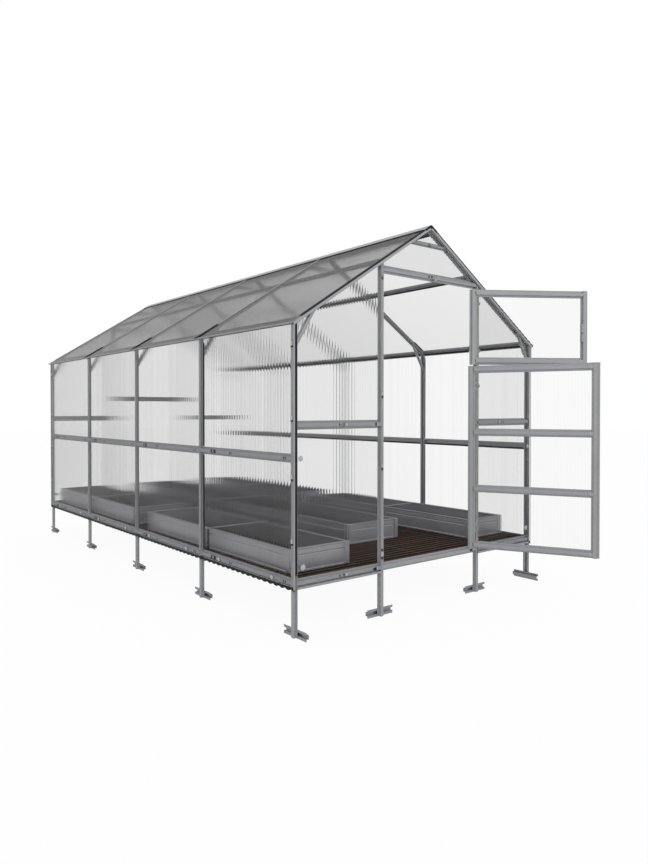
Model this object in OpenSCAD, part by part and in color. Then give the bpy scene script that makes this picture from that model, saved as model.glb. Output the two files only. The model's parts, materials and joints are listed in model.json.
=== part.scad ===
// Polycarbonate greenhouse on a frame of galvanised hat profiles, with a two-leaf
// stable door, a slatted floor and raised beds. Millimetres, +Z up, feet at z = 0.

/* [House] */
// Number of bays along the house
bays = 4; // [2:1:6]
// Length of one bay, from frame to frame
bay = 1000; // [800:10:1200]
// Width between the inner faces of the two side walls
house_w = 2050; // [1900:10:2600]
// Length of the legs below the base rails
leg_h = 263; // [150:1:400]
// Height from the underside of the base rails to the knees of the frames
wall_h = 1395; // [1200:1:1800]
// Slope of the roof in degrees
roof_pitch = 32.5; // [25:0.5:40]

/* [Steel profile] */
// Overall width of the hat profile
prof_w = 48; // [40:1:70]
// Width of its raised crown
crown_w = 22; // [16:1:30]
// Depth of the profile
prof_d = 16.5; // [12:0.5:25]
// Thickness of the steel
prof_t = 1.2; // [0.8:0.1:2]

/* [Rails and braces] */
// Height of the side walls' middle rails above the ground
side_rail_h = 946; // [700:1:1200]
// Height of the gables' middle rails above the ground
gable_rail_h = 1121; // [900:1:1400]
// Height of the rail across the middle of the rear gable above the ground
rear_sill_h = 1323; // [1000:1:1500]
// Distance of the gable posts from the side walls
panel_w = 618; // [450:1:700]
// Width of the doorway between the centres of its posts
door_w = 864; // [700:1:900]
// Drop of the lintel's centre below the inner apex of the rafters
lintel_drop = 290; // [240:1:400]
// Distance of the slope purlins from the side walls, measured level
purlin_in = 640; // [450:1:750]
// Drop of the apex ties' centre below the inner apex of the rafters
tie_drop = 93; // [60:1:130]
// Distance from a knee down to the foot of its brace
brace_drop = 115; // [60:1:200]
// Horizontal reach of a knee brace
brace_run = 115; // [80:1:260]
// Overall width of the light profile of the braces and ties
light_w = 30; // [24:1:40]
// Width of the light profile's crown
light_crown_w = 14; // [10:1:20]
// Depth of the light profile
light_d = 10; // [8:0.5:15]

/* [Sheets] */
// Thickness of the twin-wall sheets
sheet_t = 6; // [4:1:10]
// Gap between neighbouring sheets
sheet_gap = 2; // [1:0.5:5]
// How far the wall sheets hang below the base rails
sheet_drop = 6; // [0:1:20]
// How far the roof sheets reach past the gables' profiles
verge = 24; // [20:1:90]
// How far the roof sheets reach past the side walls' inner faces
eave_over = 40; // [26:1:80]
// Thickness of the sealing tape between the roof sheets and the steel
tape_t = 0.3; // [0.2:0.1:2]
// Width of each wing of the ridge cap
cap_w = 62; // [40:1:100]

/* [Door leaves] */
// How far the closed leaves lap over the base rail and the free side's post
leaf_lap = 4; // [0:1:8]
// Gap between the upper leaf and the lintel above it
leaf_head = 15; // [6:1:30]
// How far the leaves reach past the hinge line
leaf_end = 25; // [10:1:30]
// Height of the split between the two leaves above the ground
split_h = 1492; // [1300:1:1650]
// Gap between the two leaves
split_gap = 8; // [6:1:25]
// Distance of the hinge line from the centre of its post
hinge_reach = 74; // [60:1:90]
// Running gap between the closed leaves and the profiles behind them
leaf_gap = 6; // [5:0.5:10]
// Pitch of the lower leaf's two lower panes
pane_pitch = 364; // [300:1:380]
// Angle by which the lower leaf stands open
lower_open = 116; // [0:1:165]
// Angle by which the upper leaf stands open
upper_open = 147; // [0:1:150]

/* [Hinges and latch] */
// Height of one hinge
hinge_h = 60; // [40:1:90]
// Radius of the hinge knuckles
knuckle_r = 6; // [5:0.5:8]
// Radius of the hinge pins
pin_r = 3; // [2:0.5:4]
// Radial clearance between pin and knuckle
pin_clear = 0.1; // [0.05:0.01:0.1]
// Running clearance beside and between the knuckles
hinge_clear = 0.5; // [0.3:0.1:1]
// Thickness of the hinge plates
plate_t = 2; // [1.5:0.5:3]
// Distance of the lower leaf's hinges from its top and foot
lower_inset = 130; // [60:1:250]
// Distance of the upper leaf's hinges from its top and foot
upper_inset = 90; // [50:1:150]
// Height of the latch on the upper leaf
latch_h = 118; // [60:1:150]
// Height of the latch's centre above the foot of the upper leaf
latch_up = 212; // [100:1:300]
// Radius of the latch's knob
knob_r = 5; // [4:0.5:8]

/* [Ground anchors] */
// Length of the cross piece at the foot of each leg
anchor_l = 200; // [120:1:300]

/* [Floor and beds] */
// Thickness of the floor boards
board_t = 22; // [18:1:28]
// Clearance of the floor from the frame around it
floor_clear = 2; // [1:0.5:5]
// Number of joists under the floor
joists = 3; // [2:1:5]
// Height of the raised beds
bed_h = 134; // [100:1:300]
// Width of the beds along the left wall
left_bed_w = 430; // [300:1:500]
// Width of the beds along the right wall
right_bed_w = 366; // [300:1:500]
// Width of the bed in the middle
mid_bed_w = 464; // [300:1:500]
// Distance of the left beds from their wall
left_inset = 60; // [30:1:120]
// Distance of the right beds from their wall
right_inset = 38; // [30:1:120]
// Distance of the middle bed to the right of the house's middle
mid_shift = 55; // [0:1:100]
// Distance from the front gable to the left row of beds
left_front = 135; // [80:1:400]
// Distance from the front gable to the right row of beds
right_front = 190; // [80:1:400]
// Distance from the front gable to the middle bed
mid_front = 553; // [400:1:1200]
// Distance from the rear gable to all rows of beds
rear_space = 50; // [40:1:300]
// Gap between the front and rear beds of a row
bed_gap = 270; // [50:1:400]
// How far the middle of that gap lies behind the middle of the house
gap_shift = 75; // [0:1:200]
// Thickness of the beds' boards
bed_t = 2; // [1:0.5:4]
// Width of the beds' folded top lips and corner posts
bed_lip = 18; // [12:1:30]
// Width of the strap across each bed
strap_w = 30; // [20:1:50]

/* [Hidden] */
$fn = 32;

steel = "#8f9193";
steel_dark = "#7c7e81";
sheet_white = [0.9, 0.92, 0.93, 0.5];
sheet_grey = [0.6, 0.62, 0.64, 0.6];
timber = "#3a302a";

x_axis = [1, 0, 0];
y_axis = [0, 1, 0];
z_axis = [0, 0, 1];

house_l = bays * bay;
brim_w = (prof_w - crown_w) / 2;
rise = tan(roof_pitch);
knee_z = leg_h + wall_h;
apex_z = knee_z + house_w / 2 * rise;
base_z = leg_h + prof_w / 2;
lintel_z = apex_z - lintel_drop;
crown_z = knee_z + prof_d / cos(roof_pitch);
roof_z = crown_z + tape_t / cos(roof_pitch);
sheet_rise = sheet_t / cos(roof_pitch);
mitre_z = knee_z + prof_d * cos(roof_pitch) / (1 + sin(roof_pitch));
slope = [cos(roof_pitch), 0, sin(roof_pitch)];
slope_up = [-sin(roof_pitch), 0, cos(roof_pitch)];
post_x = [panel_w, panel_w + door_w];
frame_y = [for (i = [0 : bays]) i * bay];
over = 1;

// The door leaves: closed, they lie in front of the gable's profiles
leaf_back = -leaf_gap;
leaf_face = leaf_back - prof_d;
pin_x = post_x[1] - hinge_reach;
pin_y = leaf_face - sheet_t - knuckle_r - hinge_clear;
leaf_x0 = post_x[0] + prof_w / 2 - leaf_lap;
leaf_x1 = pin_x + leaf_end;
leaf_l = leaf_x1 - leaf_x0;
lower_z0 = leg_h + prof_w - leaf_lap;
lower_z1 = split_h - split_gap / 2;
upper_z0 = split_h + split_gap / 2;
upper_z1 = lintel_z - prof_w / 2 - leaf_head;

// The reference point is the middle of the whole part's footprint, open leaves included
function turned_y(x, y, a) = pin_y + x * sin(a) + y * cos(a);
reach = leaf_x0 - pin_x;
function leaf_low(a) = min(turned_y(reach, leaf_face + prof_t - pin_y, a),
    turned_y(reach + brim_w, leaf_back - pin_y, a),
    turned_y(reach, leaf_face - sheet_t - pin_y, a));
front_y = min(-verge, -anchor_l / 2, leaf_low(lower_open), leaf_low(upper_open));
rear_y = house_l + max(verge, anchor_l / 2);
middle_y = (front_y + rear_y) / 2;

module at_reference() {
    translate([-house_w / 2, -middle_y, 0]) children();
}

module mirrored_x() {
    translate([house_w, 0, 0]) mirror([1, 0, 0]) children();
}

module both_sides() {
    children();
    mirrored_x() children();
}

// Swings what is drawn closed about the hinge line
module swung(angle) {
    translate([pin_x, pin_y, 0]) rotate([0, 0, angle]) translate([-pin_x, -pin_y, 0]) children();
}

// ---- the hat profile ----

// Section with its brims on y = 0 and its crown at y = depth
module hat_section(width = prof_w, crown = crown_w, depth = prof_d) {
    polygon([[-width / 2, 0], [-crown / 2 + prof_t, 0],
        [-crown / 2 + prof_t, depth - prof_t], [crown / 2 - prof_t, depth - prof_t],
        [crown / 2 - prof_t, 0], [width / 2, 0], [width / 2, prof_t],
        [crown / 2, prof_t], [crown / 2, depth], [-crown / 2, depth],
        [-crown / 2, prof_t], [-width / 2, prof_t]]);
}

// Sets local z along a bar and local y towards the side its crown faces
module aligned(start, along, out) {
    side = cross(out, along);
    multmatrix([[side[0], out[0], along[0], start[0]],
        [side[1], out[1], along[1], start[1]],
        [side[2], out[2], along[2], start[2]],
        [0, 0, 0, 1]]) children();
}

module hat_bar(start, along, out, length) {
    aligned(start, along, out) linear_extrude(length) hat_section();
}

module light_bar(start, along, out, length) {
    aligned(start, along, out) linear_extrude(length) hat_section(light_w, light_crown_w, light_d);
}

// A bar between the centre lines of two crossing profiles: its crown runs up to
// their crowns, and its brims are cut back to the edges of theirs
module coped_bar(start, along, out, length, first = true, last = true) {
    z0 = first ? crown_w / 2 : 0;
    z1 = last ? length - crown_w / 2 : length;
    aligned(start, along, out) difference() {
        translate([0, 0, z0]) linear_extrude(z1 - z0) hat_section();
        if (first) brim_cut(z0, 1);
        if (last) brim_cut(z1, -1);
    }
}

module brim_cut(z, way) {
    size = [prof_w + 2 * over, prof_t + over, brim_w + over];
    translate([-size[0] / 2, -over, way > 0 ? z - over : z - brim_w]) cube(size);
}

// A prism of the house's cross-section, from one end of the house past the other
module across_house(points) {
    translate([0, house_l + bay, 0]) rotate([90, 0, 0]) linear_extrude(house_l + 2 * bay) polygon(points);
}

// Keeps what lies inside the inner faces of the walls and the rafters
module inside_frames() {
    intersection() {
        children();
        across_house([[0, 0], [house_w, 0], [house_w, knee_z], [house_w / 2, apex_z], [0, knee_z]]);
    }
}

// ---- the portal frames ----

module posts() {
    intersection() {
        for (y = frame_y) hat_bar([0, y, 0], z_axis, -x_axis, knee_z + prof_d);
        across_house([[-prof_d, 0], [0, 0], [0, knee_z], [-prof_d, mitre_z]]);
    }
}

module left_posts() {
    color(steel) at_reference() posts();
}

module right_posts() {
    color(steel) at_reference() mirrored_x() posts();
}

module rafters() {
    start = [0, 0, knee_z] - prof_w * slope;
    length = house_w / 2 / cos(roof_pitch) + 2 * prof_w;
    color(steel) at_reference() both_sides() intersection() {
        for (y = frame_y) hat_bar(start + y * y_axis, slope, slope_up, length);
        across_house([[0, knee_z], [house_w / 2, apex_z],
            [house_w / 2, apex_z + prof_d / cos(roof_pitch)], [-prof_d, mitre_z]]);
    }
}

// Which way the crowns of a frame's brace and tie face: outwards at both gables
function facing(i) = i == bays ? 1 : -1;

module knee_braces() {
    foot = [0, 0, knee_z - brace_drop];
    head = [brace_run, 0, knee_z + brace_run * rise];
    length = norm(head - foot);
    along = (head - foot) / length;
    color(steel_dark) at_reference() both_sides() inside_frames()
        for (i = [0 : bays])
            light_bar(foot + frame_y[i] * y_axis - light_w * along, along, facing(i) * y_axis,
                length + 2 * light_w);
}

module apex_ties() {
    half = tie_drop / rise + light_w;
    color(steel_dark) at_reference() inside_frames()
        for (i = [0 : bays])
            light_bar([house_w / 2 - half, frame_y[i], apex_z - tie_drop], x_axis, facing(i) * y_axis,
                2 * half);
}

// ---- the gables ----

// The two posts of a gable, from the ground to the rafters
module gable_posts() {
    inside_frames() for (x = post_x) hat_bar([x, 0, 0], z_axis, -y_axis, apex_z);
}

module at_rear() {
    translate([0, house_l, 0]) mirror([0, 1, 0]) children();
}

module front_door_posts() {
    color(steel) at_reference() gable_posts();
}

module rear_gable_posts() {
    color(steel) at_reference() at_rear() gable_posts();
}

// A rail of a gable across its left panel, its middle or its right panel
module gable_rail(panel, z) {
    starts = [0, post_x[0], post_x[1]];
    ends = [post_x[0], post_x[1], house_w];
    coped_bar([starts[panel], 0, z], x_axis, -y_axis, ends[panel] - starts[panel],
        panel > 0, panel < 2);
}

// The rail across the head of the middle panel, cut to the slope where it meets a rafter
module head_rail() {
    inside_frames() gable_rail(1, lintel_z);
}

module door_lintel() {
    color(steel) at_reference() head_rail();
}

module rear_top_rail() {
    color(steel) at_reference() at_rear() head_rail();
}

module front_base_rails() {
    color(steel) at_reference() for (panel = [0 : 2]) gable_rail(panel, base_z);
}

module rear_base_rails() {
    color(steel) at_reference() at_rear() for (panel = [0 : 2]) gable_rail(panel, base_z);
}

module front_mid_rails() {
    color(steel) at_reference() for (panel = [0, 2]) gable_rail(panel, gable_rail_h);
}

module rear_mid_rails() {
    color(steel) at_reference() at_rear() {
        for (panel = [0, 2]) gable_rail(panel, gable_rail_h);
        gable_rail(1, rear_sill_h);
    }
}

// ---- the side walls and the roof ----

module side_rails(z) {
    both_sides() for (i = [0 : bays - 1]) coped_bar([0, frame_y[i], z], y_axis, -x_axis, bay);
}

module side_base_rails() {
    color(steel) at_reference() side_rails(base_z);
}

module side_mid_rails() {
    color(steel) at_reference() side_rails(side_rail_h);
}

// A rail between the rafters, its centre at a distance up the slope from the knees
module slope_rails(distance) {
    centre = [0, 0, knee_z] + distance * slope;
    both_sides() for (y = [for (i = [0 : bays - 1]) frame_y[i]])
        coped_bar(centre + y * y_axis, y_axis, slope_up, bay);
}

module eave_rails() {
    color(steel) at_reference() slope_rails(prof_w / 2);
}

module slope_purlins() {
    color(steel_dark) at_reference() slope_rails(purlin_in / cos(roof_pitch));
}

// The ridge purlins' crowns bear on the undersides of both roof slopes
module ridge_purlins() {
    z = crown_z + (house_w - crown_w) / 2 * rise - prof_d;
    color(steel_dark) at_reference() for (i = [0 : bays - 1])
        hat_bar([house_w / 2, frame_y[i] + crown_w / 2, z], y_axis, z_axis, bay - crown_w);
}

module ridge_cap() {
    low = roof_z + sheet_rise;
    thick = prof_t / cos(roof_pitch);
    middle = house_w / 2;
    color(steel) at_reference() translate([0, house_l + verge, 0]) rotate([90, 0, 0])
        linear_extrude(house_l + 2 * verge)
        polygon([[middle - cap_w, low + (middle - cap_w) * rise], [middle, low + middle * rise],
            [middle + cap_w, low + (middle - cap_w) * rise],
            [middle + cap_w, low + (middle - cap_w) * rise + thick], [middle, low + middle * rise + thick],
            [middle - cap_w, low + (middle - cap_w) * rise + thick]]);
}

// ---- the feet ----

// A cross piece on the inner side of a leg, its brims against the leg's brims
module anchor(x, y, along, out) {
    hat_bar([x, y, prof_w / 2] - anchor_l / 2 * along, along, out, anchor_l);
}

module ground_anchors() {
    color(steel_dark) at_reference() {
        both_sides() for (y = frame_y) anchor(0, y, y_axis, x_axis);
        for (x = post_x) anchor(x, 0, x_axis, y_axis);
        at_rear() for (x = post_x) anchor(x, 0, x_axis, y_axis);
    }
}

// ---- the sheets ----

module wall_sheets() {
    x = -prof_d - sheet_t;
    z0 = leg_h - sheet_drop;
    z1 = crown_z + x * rise;
    for (i = [0 : bays - 1]) {
        y0 = i == 0 ? x : frame_y[i] + sheet_gap / 2;
        y1 = i == bays - 1 ? house_l - x : frame_y[i + 1] - sheet_gap / 2;
        translate([x, y0, z0]) cube([sheet_t, y1 - y0, z1 - z0]);
    }
}

module left_wall_sheets() {
    color(sheet_white) at_reference() wall_sheets();
}

module right_wall_sheets() {
    color(sheet_white) at_reference() mirrored_x() wall_sheets();
}

module roof_sheets() {
    x1 = (house_w - sheet_gap) / 2;
    for (i = [0 : bays - 1]) {
        y0 = i == 0 ? -verge : frame_y[i] + sheet_gap / 2;
        y1 = i == bays - 1 ? house_l + verge : frame_y[i + 1] - sheet_gap / 2;
        translate([0, y1, 0]) rotate([90, 0, 0]) linear_extrude(y1 - y0)
            polygon([[-eave_over, roof_z - eave_over * rise], [x1, roof_z + x1 * rise],
                [x1, roof_z + x1 * rise + sheet_rise],
                [-eave_over, roof_z - eave_over * rise + sheet_rise]]);
    }
}

module left_roof_sheets() {
    color(sheet_grey) at_reference() roof_sheets();
}

module right_roof_sheets() {
    color(sheet_grey) at_reference() mirrored_x() roof_sheets();
}

// A gable sheet between two uprights, from a height up to the rafters
module gable_sheet(x0, x1, z0) {
    inside_frames() translate([x0 + sheet_gap / 2, -prof_d - sheet_t, z0])
        cube([x1 - x0 - sheet_gap, sheet_t, apex_z - z0]);
}

module front_left_sheet() {
    color(sheet_white) at_reference() gable_sheet(0, post_x[0], leg_h - sheet_drop);
}

module front_right_sheet() {
    color(sheet_white) at_reference() gable_sheet(post_x[1], house_w, leg_h - sheet_drop);
}

module front_top_sheet() {
    color(sheet_white) at_reference() gable_sheet(post_x[0], post_x[1], lintel_z);
}

module rear_wall_sheets() {
    color(sheet_white) at_reference() at_rear() {
        gable_sheet(0, post_x[0], leg_h - sheet_drop);
        gable_sheet(post_x[0], post_x[1], leg_h - sheet_drop);
        gable_sheet(post_x[1], house_w, leg_h - sheet_drop);
    }
}

// ---- the floor and the beds ----

module floor_joists() {
    color(steel_dark) at_reference() for (i = [1 : joists])
        hat_bar([house_w * i / (joists + 1), 0, leg_h], y_axis, z_axis, house_l);
}

module floor_deck() {
    color(timber) at_reference() translate([floor_clear, floor_clear, leg_h + prof_d])
        cube([house_w - 2 * floor_clear, house_l - 2 * floor_clear, board_t]);
}

// An open frame of folded boards with corner posts and one strap across its middle
module bed(x0, y0, width, length) {
    z0 = leg_h + prof_d + board_t;
    color(steel) at_reference() translate([x0, y0, z0]) {
        difference() {
            cube([width, length, bed_h]);
            translate([bed_t, bed_t, -over])
                cube([width - 2 * bed_t, length - 2 * bed_t, bed_h - bed_t + over]);
            translate([bed_lip, bed_lip, -over])
                cube([width - 2 * bed_lip, length - 2 * bed_lip, bed_h + 2 * over]);
        }
        for (x = [bed_t, width - bed_lip], y = [bed_t, length - bed_lip])
            translate([x, y, 0]) cube([bed_lip - bed_t, bed_lip - bed_t, bed_h - bed_t]);
        translate([bed_t, (length - strap_w) / 2, bed_h - bed_t]) cube([width - 2 * bed_t, strap_w, bed_t]);
    }
}

gap_y = house_l / 2 + gap_shift;
front_bed_end = gap_y - bed_gap / 2;
rear_bed_y = gap_y + bed_gap / 2;
rear_bed_l = house_l - rear_space - rear_bed_y;
right_bed_x = house_w - right_inset - right_bed_w;

module left_front_bed() {
    bed(left_inset, left_front, left_bed_w, front_bed_end - left_front);
}

module left_rear_bed() {
    bed(left_inset, rear_bed_y, left_bed_w, rear_bed_l);
}

module middle_bed() {
    bed((house_w - mid_bed_w) / 2 + mid_shift, mid_front, mid_bed_w, house_l - mid_front - rear_space);
}

module right_front_bed() {
    bed(right_bed_x, right_front, right_bed_w, front_bed_end - right_front);
}

module right_rear_bed() {
    bed(right_bed_x, rear_bed_y, right_bed_w, rear_bed_l);
}

// ---- the door leaves, drawn closed and swung open ----

module leaf_stiles(z0, z1) {
    for (x = [leaf_x0 + prof_w / 2, leaf_x1 - prof_w / 2])
        hat_bar([x, leaf_face, z0], z_axis, y_axis, z1 - z0);
}

module leaf_rail(z) {
    coped_bar([leaf_x1 - prof_w / 2, leaf_face, z], -x_axis, y_axis, leaf_l - prof_w);
}

module leaf_sheet(z0, z1) {
    translate([leaf_x0, leaf_face - sheet_t, z0]) cube([leaf_l, sheet_t, z1 - z0]);
}

lower_hinges = [lower_z0 + lower_inset, lower_z1 - lower_inset];
upper_hinges = [upper_z0 + upper_inset, upper_z1 - upper_inset];
third = hinge_h / 3;

module knuckle(z0, z1) {
    translate([pin_x, pin_y, z0]) difference() {
        cylinder(r = knuckle_r, h = z1 - z0);
        translate([0, 0, -over]) cylinder(r = pin_r + pin_clear, h = z1 - z0 + 2 * over);
    }
}

module lower_leaf_stiles() {
    color(steel) at_reference() swung(lower_open) leaf_stiles(lower_z0, lower_z1);
}

module lower_leaf_rails() {
    first = lower_z0 + prof_w / 2;
    color(steel) at_reference() swung(lower_open)
        for (z = [first, first + pane_pitch, first + 2 * pane_pitch, lower_z1 - prof_w / 2]) leaf_rail(z);
}

module lower_leaf_sheet() {
    color(sheet_white) at_reference() swung(lower_open) leaf_sheet(lower_z0, lower_z1);
}

module upper_leaf_stiles() {
    color(steel) at_reference() swung(upper_open) leaf_stiles(upper_z0, upper_z1);
}

module upper_leaf_rails() {
    color(steel) at_reference() swung(upper_open)
        for (z = [upper_z0 + prof_w / 2, upper_z1 - prof_w / 2]) leaf_rail(z);
}

module upper_leaf_sheet() {
    color(sheet_white) at_reference() swung(upper_open) leaf_sheet(upper_z0, upper_z1);
}

// Cranked brackets on the door post's brim, each with two knuckles and the pin
module hinge_brackets() {
    arm_x = post_x[1] - prof_w / 2;
    flange_x = post_x[1] - crown_w / 2;
    color(steel_dark) at_reference() for (z = concat(lower_hinges, upper_hinges)) {
        difference() {
            translate([0, 0, z - hinge_h / 2]) linear_extrude(hinge_h)
                polygon([[pin_x, pin_y - plate_t], [arm_x + plate_t, pin_y - plate_t],
                    [arm_x + plate_t, -prof_t - plate_t], [flange_x, -prof_t - plate_t],
                    [flange_x, -prof_t], [arm_x, -prof_t], [arm_x, pin_y], [pin_x, pin_y]]);
            translate([pin_x, pin_y, z - third / 2 - hinge_clear])
                cylinder(r = knuckle_r + hinge_clear, h = third + 2 * hinge_clear);
            translate([pin_x, pin_y, z - hinge_h / 2 - over]) cylinder(r = pin_r, h = hinge_h + 2 * over);
        }
        knuckle(z - hinge_h / 2, z - third / 2 - hinge_clear);
        knuckle(z + third / 2 + hinge_clear, z + hinge_h / 2);
        translate([pin_x, pin_y, z - hinge_h / 2]) cylinder(r = pin_r, h = hinge_h);
    }
}

// A knuckle for each hinge with its plate on the outer face of the leaf's sheet
module leaf_hinges(heights) {
    for (z = heights) {
        knuckle(z - third / 2, z + third / 2);
        difference() {
            translate([pin_x - prof_w, leaf_face - sheet_t - plate_t, z - third / 2])
                cube([prof_w, plate_t, third]);
            translate([pin_x, pin_y, z - third / 2 - over])
                cylinder(r = pin_r + pin_clear, h = third + 2 * over);
        }
    }
}

module lower_leaf_hinges() {
    color(steel_dark) at_reference() swung(lower_open) leaf_hinges(lower_hinges);
}

module upper_leaf_hinges() {
    color(steel_dark) at_reference() swung(upper_open) leaf_hinges(upper_hinges);
}

// A slide latch beside the crown of the free stile, with its knob in the middle
module upper_leaf_latch() {
    x = leaf_x0 + prof_w - brim_w;
    y = leaf_face + prof_t;
    z = upper_z0 + latch_up;
    color(steel_dark) at_reference() swung(upper_open) {
        translate([x, y, z - latch_h / 2]) cube([brim_w, prof_d, latch_h]);
        translate([x + brim_w / 2, y + prof_d, z]) rotate([-90, 0, 0])
            cylinder(r = knob_r, h = 3 * knob_r);
    }
}

left_posts();
right_posts();
rafters();
knee_braces();
apex_ties();
front_door_posts();
rear_gable_posts();
door_lintel();
rear_top_rail();
side_base_rails();
front_base_rails();
rear_base_rails();
side_mid_rails();
front_mid_rails();
rear_mid_rails();
eave_rails();
slope_purlins();
ridge_purlins();
ridge_cap();
ground_anchors();
left_wall_sheets();
right_wall_sheets();
left_roof_sheets();
right_roof_sheets();
front_left_sheet();
front_right_sheet();
front_top_sheet();
rear_wall_sheets();
floor_joists();
floor_deck();
left_front_bed();
left_rear_bed();
middle_bed();
right_front_bed();
right_rear_bed();
hinge_brackets();
lower_leaf_stiles();
lower_leaf_rails();
lower_leaf_sheet();
lower_leaf_hinges();
upper_leaf_stiles();
upper_leaf_rails();
upper_leaf_sheet();
upper_leaf_hinges();
upper_leaf_latch();
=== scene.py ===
"""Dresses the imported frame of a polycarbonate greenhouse: twin-wall glazing, galvanised steel,
edge tape, fasteners, slatted floor, raised beds, the two door leaves' fittings and a stage."""

import json
import math

import bmesh
import bpy
import numpy as np
from bpy.props import FloatProperty, FloatVectorProperty, IntProperty, PointerProperty
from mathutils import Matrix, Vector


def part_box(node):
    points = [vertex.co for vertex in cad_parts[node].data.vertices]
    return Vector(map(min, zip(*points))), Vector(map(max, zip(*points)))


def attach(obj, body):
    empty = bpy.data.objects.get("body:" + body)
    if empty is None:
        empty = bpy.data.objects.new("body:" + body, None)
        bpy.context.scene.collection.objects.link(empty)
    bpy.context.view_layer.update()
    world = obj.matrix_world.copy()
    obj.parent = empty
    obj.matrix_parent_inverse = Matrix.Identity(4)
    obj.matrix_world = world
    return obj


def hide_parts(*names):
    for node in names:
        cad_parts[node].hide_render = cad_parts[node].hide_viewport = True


bl_info = {
    "name": "Polycarbonate greenhouse",
    "version": (1, 0, 0),
    "blender": (4, 5, 0),
    "location": "3D View > Sidebar > Greenhouse",
    "description": "Glazing, steel, fasteners, floor and beds around the greenhouse's packed frame",
    "category": "Object",
}

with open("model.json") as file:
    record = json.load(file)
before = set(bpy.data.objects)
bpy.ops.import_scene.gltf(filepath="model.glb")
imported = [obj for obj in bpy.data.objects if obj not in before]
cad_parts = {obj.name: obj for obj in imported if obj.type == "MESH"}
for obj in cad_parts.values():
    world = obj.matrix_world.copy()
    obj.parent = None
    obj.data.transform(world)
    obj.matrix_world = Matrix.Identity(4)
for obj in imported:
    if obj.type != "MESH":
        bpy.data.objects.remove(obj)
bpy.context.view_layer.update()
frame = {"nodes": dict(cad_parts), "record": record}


def linear(hex_code):
    """Linear RGBA of an sRGB hex colour: a channel c gives c / 12.92 up to 0.04045, and
    ((c + 0.055) / 1.055) to the power 2.4 above it."""
    c = np.array([int(hex_code[i : i + 2], 16) for i in (0, 2, 4)]) / 255
    return (*np.where(c <= 0.04045, c / 12.92, ((c + 0.055) / 1.055) ** 2.4).tolist(), 1.0)


# ---- the frame's own sizes in metres, read from its nodes ----

low = {name: np.array(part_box(name)[0]) for name in frame["nodes"]}
high = {name: np.array(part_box(name)[1]) for name in frame["nodes"]}
X, Y, Z = np.eye(3)

# Planes of the frame's flanges, and the height of its base rails' feet
LEFT = high["left_posts"][0]
RIGHT = low["right_posts"][0]
FRONT = high["front_door_posts"][1]
REAR = low["rear_gable_posts"][1]
SILL = low["front_base_rails"][2]
MIDDLE = (LEFT + RIGHT) / 2
# The walls and the gables, each with the direction out of it
SIDES = (LEFT, -X), (RIGHT, X)
GABLES = (FRONT, -Y), (REAR, Y)

# Hat profile: its width, its depth and the width of its crown. Sheets lie on the crowns
PROFILE = high["front_base_rails"][2] - SILL
DEPTH = LEFT - low["left_posts"][0]
CROWN = 0.022
WALL_LOW, WALL_HIGH = low["left_wall_sheets"], high["left_wall_sheets"]
SHEET = WALL_HIGH[0] - WALL_LOW[0]
FACE = DEPTH + SHEET


def mid_height(name):
    """Height of a rail's middle."""
    return (low[name][2] + high[name][2]) / 2


# Middles of the door posts and of the rails, and the height of the eave
DOOR_LEFT = low["front_door_posts"][0] + PROFILE / 2
DOOR_RIGHT = high["front_door_posts"][0] - PROFILE / 2
SIDE_RAIL = mid_height("side_mid_rails")
GABLE_RAIL = mid_height("front_mid_rails")
BASE_RAIL = SILL + PROFILE / 2
LINTEL = mid_height("door_lintel")
TIE = mid_height("apex_ties")
KNEE = low["eave_rails"][2]


def roof_slope():
    """Angle of the rafters: top - knee = half the width times tan a, plus depth / cos a, solved by
    repeating tan a = (top - knee - depth / cos a) / half the width."""
    angle = 0.5
    for _ in range(30):
        rise = high["rafters"][2] - KNEE - DEPTH / math.cos(angle)
        angle = math.atan(rise / (MIDDLE - LEFT))
    return angle


# The roof: its slope, and for the left (1) and right (-1) side the ways down it and out of it
SLOPE = roof_slope()
DOWN = {way: np.array([-way * math.cos(SLOPE), 0, -math.sin(SLOPE)]) for way in (1, -1)}
OUT = {way: np.array([-way * math.sin(SLOPE), 0, math.cos(SLOPE)]) for way in (1, -1)}
# Underside of the roof sheets at the ridge, at y = 0, and the distance from there to the eave
ROOF_LOW, ROOF_HIGH = low["left_roof_sheets"], high["left_roof_sheets"]
UNDER = ROOF_HIGH[2] - SHEET / math.cos(SLOPE) + (MIDDLE - ROOF_HIGH[0]) * math.tan(SLOPE)
CREST = np.array([MIDDLE, 0, UNDER])
REACH = (MIDDLE - ROOF_LOW[0]) / math.cos(SLOPE)

# What lies on another piece stands off it by this, so that no two faces share a plane
HAIR = 0.0002


def hinge(name):
    """Pin of a leaf and the directions along the open leaf and out of its inner face."""
    joint = next(j for j in frame["record"]["behaviour"]["joints"] if j["name"] == name)
    a = -math.radians(joint["range_deg"][0])
    along = np.array([-math.cos(a), -math.sin(a), 0])
    return np.array(joint["pos_m"]), along, np.array([-math.sin(a), math.cos(a), 0])


def leaf_sheet(leaf):
    """Foot of a leaf's pin, the directions of hinge(), and the sheet's extent along both."""
    pin, along, inner = hinge(leaf + "_leaf_hinge")
    pin = pin * [1, 1, 0]
    vertices = frame["nodes"][leaf + "_leaf_sheet"].data.vertices
    points = np.empty(len(vertices) * 3)
    vertices.foreach_get("co", points)
    points = points.reshape(-1, 3) - pin
    run, through = points @ along, points @ inner
    return pin, along, inner, run.min(), run.max(), through.min(), through.max()


# ---- settings ----


def length(name, description, default):
    """A length in metres, for a group of settings."""
    return FloatProperty(name=name, description=description, default=default, unit="LENGTH")


def colour(name, description, hex_code):
    """A colour, for a group of settings."""
    return FloatVectorProperty(
        name=name, description=description, subtype="COLOR", size=4, default=linear(hex_code)
    )


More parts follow.
